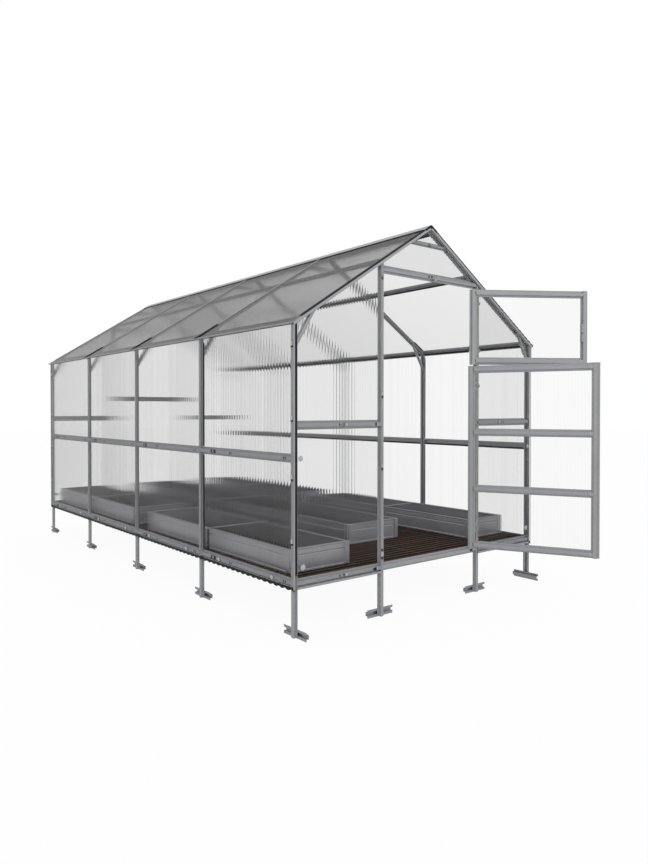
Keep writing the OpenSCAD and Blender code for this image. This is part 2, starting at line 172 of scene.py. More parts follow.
class GreenhouseSizes(bpy.types.PropertyGroup):
    """Sizes of the pieces that the frame leaves out."""

    bays: IntProperty(
        name="Bays",
        description="Number of bays along the house",
        default=round(REAR - FRONT),
        min=1,
    )
    flute: length("Flute pitch", "Distance from one flute of the sheets to the next", 0.02)
    side_flute: length("Side flute pitch", "Distance between the side walls' flutes", 0.028)
    tape: length("Edge tape", "Width of the tape on the sheets' edges", 0.013)
    board: length("Board pitch", "Distance from one floor board to the next", 0.0493)
    board_gap: length("Board gap", "Gap between neighbouring floor boards", 0.006)
    washer: length("Washer", "Radius of the sealing washers", 0.0115)
    bolt: length("Bolt head", "Radius of the bolt heads", 0.0068)


class GreenhouseColours(bpy.types.PropertyGroup):
    """Colours of the greenhouse's materials."""

    steel: colour("Steel", "Galvanised profiles", "B4B5B8")
    # Painted light: a paler copy of the steel that lifts the shaded undersides of the roof's parts
    retinted: colour("Retinted steel", "Retinted profiles of the roof", "C0C1C4")
    fittings: colour("Fittings", "Zinc-plated fittings", "B4B5B9")
    # A darker, duller grey for the covers over the beds' joints
    beds: colour("Beds", "Galvanised boards of the beds", "C8C8CC")
    bed_cover: colour("Bed covers", "Retinted covers of the beds' joints", "5A5A5E")
    sheet: colour("Wall sheets", "Tint of the wall sheets", "FAFAFA")
    roof: colour("Roof sheets", "Tint of the roof sheets", "F3F3F3")
    strip: colour("Seam strips", "Strips over the roof's seams", "A8A8A8")
    # This black is also painted shade: the strips along the rails, posts and corners, and the
    # slots' mouths
    tape: colour("Edge tape", "Black edge tape", "121214")
    # This pale is also a painted highlight on the ends of the leaves' rails
    washers: colour("Washers", "Sealing washers", "B8B8BC")
    timber: colour("Timber", "Stained floor boards", "17110E")
    # Painted highlight: the pale red-brown painted on the floor boards' eased edges
    edge_highlight: colour("Highlighted timber", "Highlighted edges of the floor boards", "7A6256")
    floor: colour("Stage", "Floor of the stage", "F2F2F2")


def sizes():
    return bpy.context.scene.greenhouse_sizes


def colours():
    return bpy.context.scene.greenhouse_colours


def frames():
    """Distances along Y of the portal frames, from the front to the rear."""
    return FRONT + np.arange(sizes().bays + 1) * (REAR - FRONT) / sizes().bays


# ---- surfaces ----


def joined(parts):
    """One (points, faces) out of many: each part's faces are shifted by the points before it."""
    points, faces, start = [], [], 0
    for p, f in parts:
        points.append(p)
        faces += [[i + start for i in face] for face in f]
        start += len(p)
    return np.concatenate(points), faces


def tube(rings, around):
    """Quads between one ring of points and the next, each ring closed on itself."""
    i, j = np.meshgrid(np.arange(rings - 1), np.arange(around), indexing="ij")
    k = (j + 1) % around
    quads = [i * around + j, i * around + k, (i + 1) * around + k, (i + 1) * around + j]
    return np.stack(quads, -1).reshape(-1, 4)


def bars(section, starts, ends, side, up):
    """Section carried along straight paths: point = start or end + u * side + v * up, for each
    corner (u, v) of the section and each pair of ends. Both ends are closed."""
    section, starts, ends = (np.atleast_2d(np.asarray(a, float)) for a in (section, starts, ends))
    n, k = len(starts), len(section)
    side, up = (np.broadcast_to(a, (n, 3)) for a in (side, up))
    ring = section[None, :, :1] * side[:, None] + section[None, :, 1:] * up[:, None]
    points = np.stack([starts[:, None] + ring, ends[:, None] + ring], 1).reshape(-1, 3)
    i, first = np.arange(k), (np.arange(n) * 2 * k)[:, None]
    faces = (first[:, :, None] + tube(2, k)).reshape(-1, 4).tolist()
    return points, faces + (first + i[::-1]).tolist() + (first + i + k).tolist()


def turned(profile, places, axes, segments=12):
    """Profile turned about an axis at each place: point = place + r cos t * e + r sin t * f +
    h * axis, for each (r, h) of the profile, with e and f square to the axis. Ends are closed."""
    profile = np.asarray(profile, float)
    places = np.atleast_2d(places)
    axes = np.broadcast_to(axes, places.shape)
    across = np.where(np.abs(axes[:, 2:]) > 0.9, X, Z)
    e = np.cross(axes, across)
    e /= np.linalg.norm(e, axis=1)[:, None]
    f = np.cross(axes, e)
    t = np.linspace(0, 2 * math.pi, segments, endpoint=False)
    circle = np.cos(t)[None, :, None] * e[:, None] + np.sin(t)[None, :, None] * f[:, None]
    points = (
        places[:, None, None]
        + profile[None, :, None, :1] * circle[:, None]
        + profile[None, :, None, 1:] * axes[:, None, None]
    ).reshape(-1, 3)
    m, i = len(profile), np.arange(segments)
    first = (np.arange(len(places)) * m * segments)[:, None]
    faces = (first[:, :, None] + tube(m, segments)).reshape(-1, 4).tolist()
    ends = (first + i[::-1]).tolist() + (first + (m - 1) * segments + i).tolist()
    return points, faces + ends


def framed(section, corner, opposite):
    """Section carried round a rectangle with mitred corners: at each corner, point = corner + u
    inwards along both sides, at height v, for each (u, v) of the section. The ring is closed."""
    section = np.asarray(section, float)
    inward = np.array([[1, 1], [-1, 1], [-1, -1], [1, -1]])
    xs = np.array([corner[0], opposite[0], opposite[0], corner[0]])
    ys = np.array([corner[1], corner[1], opposite[1], opposite[1]])
    u, v = section[:, 0], section[:, 1]
    x, y = xs[:, None] + inward[:, :1] * u[None], ys[:, None] + inward[:, 1:] * u[None]
    points = np.stack([x, y, np.broadcast_to(corner[2] + v, (4, len(v)))], -1).reshape(-1, 3)
    k = len(section)
    i, j = np.meshgrid(np.arange(4), np.arange(k), indexing="ij")
    after, j_after = (i + 1) % 4, (j + 1) % k
    quads = np.stack([i * k + j, after * k + j, after * k + j_after, i * k + j_after], -1)
    return points, quads.reshape(-1, 4).tolist()


def hemmed(y, lower, upper, x0, x1):
    """Strip of uneven height along Y: at each y its section is the rectangle from x0 to x1 and
    from lower(y) to upper(y). Both ends are closed."""
    x = np.array([x0, x1, x1, x0])
    z = np.stack([lower, lower, upper, upper], 1)
    points = np.stack([np.broadcast_to(x, z.shape), np.broadcast_to(y[:, None], z.shape), z], -1)
    last = 4 * (len(y) - 1)
    ends = [[3, 2, 1, 0], [last, last + 1, last + 2, last + 3]]
    return points.reshape(-1, 3), tube(len(y), 4).tolist() + ends


def oblong(u0, u1, v0, v1):
    """Rectangular section."""
    return [(u0, v0), (u1, v0), (u1, v1), (u0, v1)]


def channel(width, inner=None, wall=0.001, play=0.0001):
    """U-shaped section round a sheet's edge: u runs back from the edge, v through the sheet, from
    0 at its inner face to SHEET at its outer one. The inner flange may be narrower."""
    inner = inner or width
    return [
        (-wall, -wall), (inner, -wall), (inner, -play), (-play, -play),
        (-play, SHEET + play), (width, SHEET + play), (width, SHEET + wall), (-wall, SHEET + wall),
    ]


def plate_section(half, thick):
    """Section of a flat plate with eased outer edges."""
    ease = thick * 0.3
    low_edge, top = thick - ease, half - ease
    return [(-half, 0), (half, 0), (half, low_edge), (top, thick), (-top, thick), (-half, low_edge)]


def hex_bolts(places, axes, radius):
    """Hexagon bolt heads on round collars, turned from (r, h) outwards from the surface."""
    r = radius
    collar = [(r * 1.5, 0), (r * 1.55, 0.0008), (r * 1.45, 0.0016), (r * 0.9, 0.0016)]
    head = [(r, 0.0012), (r, 0.0048), (r * 0.86, 0.0058)]
    return joined([turned(collar, places, axes), turned(head, places, axes, segments=6)])


def sheet_screws(places, axes, radius):
    """Domed sealing washers with a small screw head in the middle, turned from (r, h)."""
    r = radius
    dome = [(r, 0), (r * 1.02, 0.0012), (r * 0.86, 0.0026), (r * 0.5, 0.0034)]
    screw = [(r * 0.48, 0.0058), (r * 0.3, 0.0068)]
    return turned(dome + screw, places, axes, segments=14)


def spots(x, y, z):
    """Points of every combination of x, y and z, each a number or a list."""
    grid = np.meshgrid(*map(np.atleast_1d, (x, y, z)), indexing="ij")
    return np.stack(grid, -1).reshape(-1, 3)


def add_piece(name, parts, material, body="root", smooth=None):
    """Makes one object of parts, each (points, faces), with outward faces, on a body."""
    points, faces = joined(parts)
    mesh = bpy.data.meshes.new(name)
    mesh.from_pydata(points.tolist(), [], faces)
    edit = bmesh.new()
    edit.from_mesh(mesh)
    bmesh.ops.recalc_face_normals(edit, faces=edit.faces)
    edit.to_mesh(mesh)
    edit.free()
    if smooth is not None:
        mesh.shade_smooth()
        mesh.set_sharp_from_angle(angle=math.radians(smooth))
    mesh.materials.append(material)
    made = bpy.data.objects.new(name, mesh)
    bpy.context.scene.collection.objects.link(made)
    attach(made, body)
    return made


def dress(names, material):
    """Gives nodes of the frame their material."""
    for name in names:
        mesh = frame["nodes"][name].data
        mesh.materials.clear()
        mesh.materials.append(material)


# ---- materials ----


def new_material(name):
    """An empty material, its tree and the tree's output node."""
    material = bpy.data.materials.new(name)
    material.use_nodes = True
    tree = material.node_tree
    tree.nodes.clear()
    return material, tree, tree.nodes.new("ShaderNodeOutputMaterial")


def add(tree, kind, inputs=(), **settings):
    """Adds one shader node and gives its outputs. Its inputs come in order or by name: one given
    a socket is linked to it, and any other gets its value."""
    made = tree.nodes.new("ShaderNode" + kind)
    for name, value in settings.items():
        setattr(made, name, value)
    for name, value in inputs.items() if isinstance(inputs, dict) else enumerate(inputs):
        if isinstance(value, bpy.types.NodeSocket):
            tree.links.new(value, made.inputs[name])
        else:
            made.inputs[name].default_value = value
    return made.outputs


def galvanised_steel(name, tint, roughness, metal):
    """Hot-dip galvanised strip steel: a zinc skin that mirrors the studio, with faint spangle of
    about 9 mm, tone in clouds of 110 mm, a slow waviness of 70 mm from the rolls, 0.1 mm high,
    that breaks up what it mirrors, and folds rounded to 3 mm that draw fine lines along the
    profiles. Tint, roughness and metal share are given per use."""
    spangle_size, cloud_size, wave_size, fold_radius = 0.009091, 0.11111, 0.071429, 0.003
    material, tree, out = new_material(name)
    place = add(tree, "TexCoord")["Object"]
    spangle = add(tree, "TexVoronoi", {"Vector": place, "Scale": 1 / spangle_size})["Color"]
    cloud = add(tree, "TexNoise", {"Vector": place, "Scale": 1 / cloud_size, "Detail": 3.0})[0]
    wave = add(tree, "TexNoise", {"Vector": place, "Scale": 1 / wave_size, "Detail": 1.0})[0]
    spangled = add(tree, "MapRange", (spangle, 0.0, 1.0, 0.98, 1.02))[0]
    clouded = add(tree, "MapRange", (cloud, 0.3, 0.7, 0.97, 1.03))[0]
    tone = add(tree, "Math", (spangled, clouded), operation="MULTIPLY")[0]
    skin = add(tree, "VectorMath", {0: tuple(tint[:3]), "Scale": tone}, operation="SCALE")[0]
    dull = add(tree, "MapRange", (cloud, 0.0, 1.0, roughness * 0.7, roughness * 1.4))[0]
    fold = add(tree, "Bevel", {"Radius": fold_radius}, samples=6)[0]
    bump = {"Height": wave, "Strength": 1.0, "Distance": 0.0001, "Normal": fold}
    bump = add(tree, "Bump", bump)[0]
    look = {"Base Color": skin, "Metallic": metal, "Roughness": dull, "Normal": bump}
    tree.links.new(add(tree, "BsdfPrincipled", look)[0], out.inputs[0])
    return material


def polycarbonate(
    name, tint, across, pitch, lens, clear, ribs=0.86, streaks=0.0, roughness=0.02, lamps=0.94
):
    """Clear extruded twin-wall polycarbonate: each cell between two ribs acts as a long weak lens,
    so what lies behind repeats sideways in streaks, the ribs show as fine grey lines, and the
    sheet darkens where it is seen edge-on, through many ribs. Lamps shine straight through it.
    The skin's slope is lens * t, for t from -1/2 to 1/2 across a cell, and tilts the normal. What
    it lets through falls in a line from clear[2] to clear[3] as it turns from clear[0] to
    clear[1], where 0 is square on and 1 edge-on. A rib lets 0.97 of that through square on, and
    the share ribs edge-on. Streaks of uneven extrusion, some 80 mm apart, take up to that share
    of the light, and lamps is the share of soft light that comes through. The cells are drawn
    coarser than the real 6 mm ones, since those would be too fine to show."""
    streak_pitch = 0.08
    material, tree, out = new_material(name)
    place, run = add(tree, "TexCoord")["Object"], tuple(np.asarray(across) / pitch)
    cells = add(tree, "VectorMath", (place, run), operation="DOT_PRODUCT")["Value"]
    part = add(tree, "Math", (cells,), operation="FRACT")[0]
    t = add(tree, "Math", (part, 0.5), operation="SUBTRACT")[0]
    geometry = add(tree, "NewGeometry")
    side = add(tree, "MapRange", (geometry["Backfacing"], 0.0, 1.0, lens, -lens))[0]
    tilt = add(tree, "Math", (t, side), operation="MULTIPLY")[0]
    lean = add(tree, "VectorMath", {0: tuple(across), "Scale": tilt}, operation="SCALE")[0]
    normal = add(tree, "VectorMath", (geometry["Normal"], lean), operation="ADD")[0]

    # What comes through: less edge-on, less at the ribs, and less in the streaks
    turn = add(tree, "LayerWeight", {"Blend": 0.5})["Facing"]
    at_rib = add(tree, "MapRange", (turn, 0.3, 0.9, 0.97, ribs))[0]
    aside = add(tree, "Math", (t,), operation="ABSOLUTE")[0]
    rib = add(tree, "MapRange", (aside, 0.38, 0.5, 1.0, at_rib))[0]
    through = add(tree, "MapRange", (turn, *clear))[0]
    through = add(tree, "Math", (through, rib), operation="MULTIPLY")[0]
    apart = add(tree, "Math", (cells, pitch / streak_pitch), operation="MULTIPLY")[0]
    uneven = {"W": apart, "Scale": 1.0, "Detail": 2.0}
    uneven = add(tree, "TexNoise", uneven, noise_dimensions="1D")[0]
    streak = add(tree, "MapRange", (uneven, 0.4, 0.65, 1.0, 1.0 - streaks))[0]
    share = add(tree, "Math", (through, streak), operation="MULTIPLY")[0]
    shade = add(tree, "VectorMath", {0: tuple(tint[:3]), "Scale": share}, operation="SCALE")[0]
    look = {"Base Color": shade, "Roughness": roughness, "IOR": 1.1, "Normal": normal}
    glass = add(tree, "BsdfPrincipled", {**look, "Transmission Weight": 1.0})[0]

    # Lamps, soft light and what the steel mirrors pass straight through
    path = add(tree, "LightPath")
    shadow, soft, glossy, beyond = (
        path[f"Is {ray} Ray"] for ray in ("Shadow", "Diffuse", "Glossy", "Transmission")
    )
    lit = add(tree, "Math", (shadow, soft), operation="MAXIMUM")[0]
    mirrored = add(tree, "Math", (glossy, beyond), operation="SUBTRACT")[0]
    share = add(tree, "MapRange", (mirrored, 0.0, 1.0, lamps, 0.94))[0]
    open_air = add(tree, "BsdfTransparent", (share,))[0]
    either = add(tree, "Math", (lit, mirrored), operation="MAXIMUM")[0]
    tree.links.new(add(tree, "MixShader", (either, glass, open_air))[0], out.inputs[0])
    return material


def vinyl_tape(name, tint):
    """Black vinyl edge tape: soft calendered film, nearly matt, with a pebble of 1.1 mm."""
    pebble_size = 0.0011111
    material, tree, out = new_material(name)
    place = add(tree, "TexCoord")["Object"]
    pebble = {"Vector": place, "Scale": 1 / pebble_size, "Detail": 2.0}
    pebble = add(tree, "TexNoise", pebble)[0]
    bump = add(tree, "Bump", {"Height": pebble, "Strength": 0.4, "Distance": 0.0003})[0]
    dull = add(tree, "MapRange", (pebble, 0.0, 1.0, 0.45, 0.65))[0]
    look = {"Base Color": tuple(tint), "Roughness": dull, "Normal": bump}
    tree.links.new(add(tree, "BsdfPrincipled", look)[0], out.inputs[0])
    return material


def stained_timber(name, tint):
    """Dark stained spruce boards, planed: the grain runs along the boards in streaks 5.6 mm wide
    and 170 mm long, each board has its own tone, and the stain leaves a dull sheen. The boards'
    eased edges are painted a pale red-brown, a painted highlight that shows as a pale line along
    each gap. The grain is drawn coarser than spruce's real 2 mm, so that it shows."""
    grain_length, grain_width = 0.166667, 0.0055556
    material, tree, out = new_material(name)
    place = add(tree, "TexCoord")["Object"]
    stretch = (1 / grain_length, 1 / grain_width, 1 / grain_width)
    along = add(tree, "Mapping", {"Vector": place, "Scale": stretch})[0]
    grain = {"Vector": along, "Scale": 1.0, "Detail": 6.0, "Roughness": 0.6, "Distortion": 0.4}
    grain = add(tree, "TexNoise", grain)[0]
    y = add(tree, "SeparateXYZ", (place,))["Y"]
    board = add(tree, "Math", (y, 1 / sizes().board), operation="MULTIPLY")[0]
    board = add(tree, "Math", (board,), operation="FLOOR")[0]
    own = add(tree, "TexWhiteNoise", {"W": board}, noise_dimensions="1D")["Value"]
    own_tone = add(tree, "MapRange", (own, 0.0, 1.0, 0.8, 1.2))[0]
    tone = add(tree, "MapRange", (grain, 0.3, 0.7, 0.6, 1.3))[0]
    tone = add(tree, "Math", (tone, own_tone), operation="MULTIPLY")[0]
    # Painted highlight: faces that lean off the level, the boards' eased edges, take the pale
    # red-brown
    level = add(tree, "SeparateXYZ", (add(tree, "NewGeometry")["Normal"],))["Z"]
    edge_highlight = add(tree, "MapRange", (level, 0.99, 0.9, 0.0, 1.0))[0]
    # Sockets 6 and 7 of this node take its two colours, and socket 2 gives the mix
    both = {0: edge_highlight, 6: tuple(tint), 7: tuple(colours().edge_highlight)}
    stain = add(tree, "Mix", both, data_type="RGBA")[2]
    stain = add(tree, "VectorMath", {0: stain, "Scale": tone}, operation="SCALE")[0]
    bump = add(tree, "Bump", {"Height": grain, "Strength": 0.5, "Distance": 0.0008})[0]
    sheen = add(tree, "MapRange", (grain, 0.0, 1.0, 0.5, 0.75))[0]
    look = {"Base Color": stain, "Roughness": sheen, "Normal": bump, "Specular IOR Level": 0.08}
    tree.links.new(add(tree, "BsdfPrincipled", look)[0], out.inputs[0])
    return material


def pale_nylon(name, tint):
    """Moulded nylon, natural pale grey: smooth, a little waxy, and clouded inside in blotches
    of 8 mm."""
    cloud_size = 0.0083333
    material, tree, out = new_material(name)
    place = add(tree, "TexCoord")["Object"]
    cloud = add(tree, "TexNoise", {"Vector": place, "Scale": 1 / cloud_size, "Detail": 2.0})[0]
    tone = add(tree, "MapRange", (cloud, 0.0, 1.0, 0.9, 1.08))[0]
    waxy = add(tree, "VectorMath", {0: tuple(tint[:3]), "Scale": tone}, operation="SCALE")[0]
    shader = add(tree, "BsdfPrincipled", {"Base Color": waxy, "Roughness": 0.35})[0]
    tree.links.new(shader, out.inputs[0])
    return material


def kept(name, make, *values, **more):
    """The material of that name, made the first time it is asked for."""
    return bpy.data.materials.get(name) or make(name, *values, **more)


def steel():
    return kept("galvanised_profile", galvanised_steel, colours().steel, 0.22, 0.5)


def fitting():
    return kept("zinc_plated_fitting", galvanised_steel, colours().fittings, 0.25, 0.75)


# The same pale material is a painted highlight on the leaves' rails
def washer():
    return kept("pale_nylon_washer", pale_nylon, colours().washers)


# The same black material is painted shade on the strips along the rails, posts and corners and in
# the slots' mouths
def tape():
    return kept("black_vinyl_edge_tape", vinyl_tape, colours().tape)


# ---- the steel frame ----

STEEL_NODES = (
    "left_posts right_posts front_door_posts rear_gable_posts door_lintel rear_top_rail "
    "side_base_rails front_base_rails rear_base_rails side_mid_rails front_mid_rails "
    "rear_mid_rails apex_ties floor_joists lower_leaf_stiles lower_leaf_rails upper_leaf_stiles "
    "upper_leaf_rails"
).split()
ROOF_NODES = "rafters slope_purlins ridge_purlins eave_rails knee_braces ridge_cap".split()
FITTING_NODES = (
    "ground_anchors hinge_brackets lower_leaf_hinges upper_leaf_hinges upper_leaf_latch"
).split()


class GREENHOUSE_OT_steel(bpy.types.Operator):
    """Finishes the hat profiles and the fittings in galvanised steel"""

    bl_idname = "greenhouse.steel"
    bl_label = "Steel frame"

    def execute(self, context):
        dress(STEEL_NODES, steel())
        # Painted light: the parts up in the roof get a paler, duller and less metallic copy of the
        # steel, so that their shaded undersides read lighter
        pale = colours().retinted
        dress(ROOF_NODES, galvanised_steel("painted_light_roof_profile", pale, 0.5, 0.3))
        dress(FITTING_NODES, fitting())
        return {"FINISHED"}


# ---- the sheets ----


class GREENHOUSE_OT_glazing(bpy.types.Operator):
    """Finishes the wall and roof sheets, and makes the leaves' panes, of twin-wall polycarbonate"""

    bl_idname = "greenhouse.glazing"
    bl_label = "Sheets"

    def execute(self, context):
        wall, pitch = colours().sheet, sizes().flute
        side = polycarbonate(
            "twinwall_polycarbonate_side", wall, Y, sizes().side_flute, 0.3,
            clear=(0.2, 0.8, 0.99, 0.7), streaks=0.03,
        )
        gable = polycarbonate(
            "twinwall_polycarbonate_gable", wall, X, pitch, 0.3, clear=(0.0, 1.0, 0.985, 0.85)
        )
        roof = polycarbonate(
            "twinwall_polycarbonate_roof", colours().roof, Y, pitch, 0.05,
            clear=(0.45, 0.92, 0.95, 0.36), roughness=0.1, lamps=0.5,
        )
        dress(["left_wall_sheets", "right_wall_sheets"], side)
        dress("front_left_sheet front_right_sheet front_top_sheet rear_wall_sheets".split(), gable)
        dress(["left_roof_sheets", "right_roof_sheets"], roof)

        # Panes in place of the leaves' sheets, thinner so that no face lies in the steel's face
        thinner = 0.00015
        for leaf in ("lower", "upper"):
            pin, along, inner, near, far, front, back = leaf_sheet(leaf)
            foot, head = low[leaf + "_leaf_sheet"][2], high[leaf + "_leaf_sheet"][2]
            section = oblong(near, far, front + thinner, back - thinner)
            shape = bars(section, pin + foot * Z, pin + head * Z, along, inner)
            clear = polycarbonate(
                f"twinwall_polycarbonate_{leaf}_leaf", wall, along, pitch, 0.06,
                clear=(0.0, 1.0, 0.995, 0.9), ribs=0.94,
            )
            pane = add_piece(leaf + "_leaf_pane", [shape], clear, leaf + "_leaf")
            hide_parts(leaf + "_leaf_sheet")
        return {"FINISHED"}


# ---- edges ----


def verge_angles():
    """Angles under the roof sheets' verges, with one leg in front of the rafters."""
    thick, behind_tape, short = 0.0012, 0.0092, 0.012
    start, stop = DEPTH * math.tan(SLOPE), REACH - short
    parts = []
    for way in (1, -1):
        for y, back, gable in ((ROOF_LOW[1], Y, FRONT), (ROOF_HIGH[1], -Y, REAR)):
            over = abs(gable - y) - PROFILE / 2 - behind_tape - 0.0005
            section = [
                (-thick, 0), (-HAIR, 0), (-HAIR, over),
                (-DEPTH, over), (-DEPTH, over - thick), (-thick, over - thick),
            ]
            edge = CREST + y * Y + behind_tape * back
            ends = edge + start * DOWN[way], edge + stop * DOWN[way]
            parts.append(bars(section, *ends, OUT[way], back))
    return parts


def sheet_closures():
    """Bright channels on the eaves, the walls' upright edges and the gables' lower edges."""
    parts = []
    for way in (1, -1):
        tip = CREST + REACH * DOWN[way]
        ends = tip + ROOF_LOW[1] * Y, tip + ROOF_HIGH[1] * Y
        parts.append(bars(channel(0.006), *ends, -DOWN[way], OUT[way]))
    foot, head = WALL_LOW[2], WALL_HIGH[2] - 0.005
    for wall, out in SIDES:
        for y, back in ((WALL_LOW[1], Y), (WALL_HIGH[1], -Y)):
            at = np.array([wall + out[0] * DEPTH, y, 0])
            parts.append(bars(channel(0.005), at + foot * Z, at + head * Z, back, out))
    inset, foot = 0.003, low["front_left_sheet"][2]
    for gable, out in GABLES:
        panels = [(LEFT, DOOR_LEFT), (DOOR_RIGHT, RIGHT)]
        if gable == REAR:
            panels.append((DOOR_LEFT, DOOR_RIGHT))
        for x0, x1 in panels:
            at = np.array([0, gable + out[1] * DEPTH, foot])
            ends = at + (x0 + inset) * X, at + (x1 - inset) * X
            parts.append(bars(channel(0.011), *ends, Z, out))
    return parts


def wall_hems():
    """Black strips on the side walls' lower edges, with a scalloped hem: lower edge = foot + 1 mm
    - 9 mm * |sin(pi y / wave)|."""
    wave, drop, height, proud = 0.056, 0.009, 0.012, 0.0008
    foot, y = WALL_LOW[2], np.arange(WALL_LOW[1], WALL_HIGH[1], wave / 8)
    hem = foot + 0.001 - drop * np.abs(np.sin(math.pi * y / wave))
    parts = []
    for wall, out in SIDES:
        x0, x1 = sorted((wall + out[0] * (DEPTH + HAIR), wall + out[0] * (FACE + proud)))
        parts.append(hemmed(y, hem, np.full_like(y, foot + height), x0, x1))
    return parts


class GREENHOUSE_OT_edges(bpy.types.Operator):
    """Adds the tape, angles, channels and hem strips on the sheets' edges"""

    bl_idname = "greenhouse.edges"
    bl_label = "Edges of the sheets"

    def execute(self, context):
        # Black channels on the verges; the left ones stop above the eave, as fitted
        parts = []
        section = channel(sizes().tape, inner=0.009)
        for way, short in ((1, 0.075), (-1, 0.005)):
            for y, back in ((ROOF_LOW[1], Y), (ROOF_HIGH[1], -Y)):
                edge = CREST + y * Y
                ends = edge + 0.02 * DOWN[way], edge + (REACH - short) * DOWN[way]
                parts.append(bars(section, *ends, back, OUT[way]))
        add_piece("roof_edge_tape", parts, tape())
        add_piece("verge_angles", verge_angles(), steel())
        add_piece("sheet_closures", sheet_closures(), steel())
        add_piece("wall_hem_strips", wall_hems(), tape())
        return {"FINISHED"}


# ---- painted shade strips ----


def rail_shade_strips():
    """Painted shade: black strips along the lower inner edges of the side rails, purlins and eave
    rails, bay by bay, for their shaded undersides.
    """
    clear = PROFILE / 2 + 0.002
    section = oblong(-PROFILE / 2, -PROFILE / 4, -0.004, -HAIR)
    starts, ends = (frames()[:-1] + clear)[:, None] * Y, (frames()[1:] - clear)[:, None] * Y
    purlin = (low["slope_purlins"][2] - KNEE) / math.sin(SLOPE) + PROFILE / 2
    parts = []
    for way, (wall, out) in zip((1, -1), SIDES):
        knee = np.array([wall, 0, KNEE])
        lines = [(np.array([wall, 0, SIDE_RAIL]), Z, out)]
        lines += [(knee - up * DOWN[way], -DOWN[way], OUT[way]) for up in (purlin, PROFILE / 2)]
        for at, side, outward in lines:
            parts.append(bars(section, at + starts, at + ends, side, outward))
    return parts


def post_shade_strips():
    """Painted shade: black strips along the posts' flanges that face the front, between the rails,
    for the shaded front-facing sides of the posts.
    """
    edge, clear = -PROFILE / 2, 0.004
    section = oblong(edge - 0.005, edge + 0.002, HAIR, 0.003)
    half = PROFILE / 2 + clear
    spans = (SILL + PROFILE + clear, SIDE_RAIL - half), (SIDE_RAIL + half, KNEE - half)
    parts = []
    for wall, out in SIDES:
        for foot, head in spans:
            at = spots(wall, frames()[1:], 0)
            parts.append(bars(section, at + foot * Z, at + head * Z, Y, out))
    return parts


class GREENHOUSE_OT_shade_strips(bpy.types.Operator):
    """Adds black strips of painted shade along the frame's posts, rails and corners"""

    bl_idname = "greenhouse.seals"
    bl_label = "Shade strips"

    def execute(self, context):
        # Black strips between the corner posts and the gables' sheets, painted shade for the
        # shadowed gap there; the front has it on the left
        section = oblong(HAIR, 0.0125, 0, 0.01)
        foot, head = SILL + PROFILE + 0.02, KNEE - 0.01
        parts = []
        for gable, out in GABLES:
            for wall, aside in SIDES[:1] if gable == FRONT else SIDES:
                at = np.array([wall, gable + out[1] * 0.0135, 0])
                parts.append(bars(section, at + foot * Z, at + head * Z, aside, out))
        add_piece("corner_shade_strips", parts, tape())
        add_piece("rail_shade_strips", rail_shade_strips(), tape())
        add_piece("post_shade_strips", post_shade_strips(), tape())
        return {"FINISHED"}


# ---- roof trim ----


class GREENHOUSE_OT_roof_trim(bpy.types.Operator):
    """Adds the strips over the roof's seams, and the foam and plugs of the ridge cap"""

    bl_idname = "greenhouse.roof_trim"
    bl_label = "Roof trim"

    def execute(self, context):
        # Flat strips over the seams, with a black stop at each eave
        wide, narrow, edge, thick = 0.009, 0.003, 0.0012, 0.0022
        section = [
            (-wide, 0), (wide, 0), (wide, edge), (narrow, thick), (-narrow, thick), (-wide, edge)
        ]
        below_cap, short = 0.055, 0.002
        stop = oblong(-0.015, 0.015, 0, 0.0045)
        stop_up, stop_past = 0.18, 0.004
        frosted = pale_nylon("frosted_polycarbonate_strip", colours().strip)
        strips, stops = [], []
        for way in (1, -1):
            top = CREST + SHEET * OUT[way] + frames()[1:-1, None] * Y
            tips = top + (REACH - short) * DOWN[way]
            strips.append(bars(section, top + below_cap * DOWN[way], tips, Y, OUT[way]))
            ends = tips - stop_up * DOWN[way], tips + stop_past * DOWN[way]
            stops.append(bars(stop, *ends, Y, OUT[way]))
        add_piece("roof_seam_strips", strips, frosted)
        add_piece("roof_seam_stops", stops, tape())

        # Foam under the ridge cap's edges, and black plugs in its ends
        cap_low, cap_high = low["ridge_cap"], high["ridge_cap"]
        wing = (cap_high[0] - cap_low[0]) / 2 / math.cos(SLOPE)
        foam, plugs = [], []
        for way in (1, -1):
            top = CREST + SHEET * OUT[way]
            front, rear = top + cap_low[1] * Y, top + cap_high[1] * Y
            strip = oblong(wing - 0.004, wing + 0.004, 0, 0.004)
            foam.append(bars(strip, front, rear, DOWN[way], OUT[way]))
            plug = oblong(0, wing * 0.8, -0.012, 0.002)
            for at, out in ((front, -Y), (rear, Y)):
                plugs.append(bars(plug, at, at + 0.002 * out, DOWN[way], OUT[way]))
        add_piece("ridge_foam", foam, tape())
        add_piece("ridge_end_plugs", plugs, tape())
        return {"FINISHED"}


# ---- fasteners ----


def slots(half, places, reach, side, out):
    """Black slivers with sloping sides, painted shade for the mouths of upright punched slots,
    each from -half to half across and from -reach to reach along Z."""
    section = [(-half, 0), (half, 0), (half * 0.8, 0.0006), (-half * 0.8, 0.0006)]
    return bars(section, places - reach * Z, places + reach * Z, side, out)


def plates(half, thick, places, reach, side, out):
    """Flat plates with eased outer edges, as wide and as high as slots() are."""
    section = plate_section(half, thick)
    return bars(section, places - reach * Z, places + reach * Z, side, out)


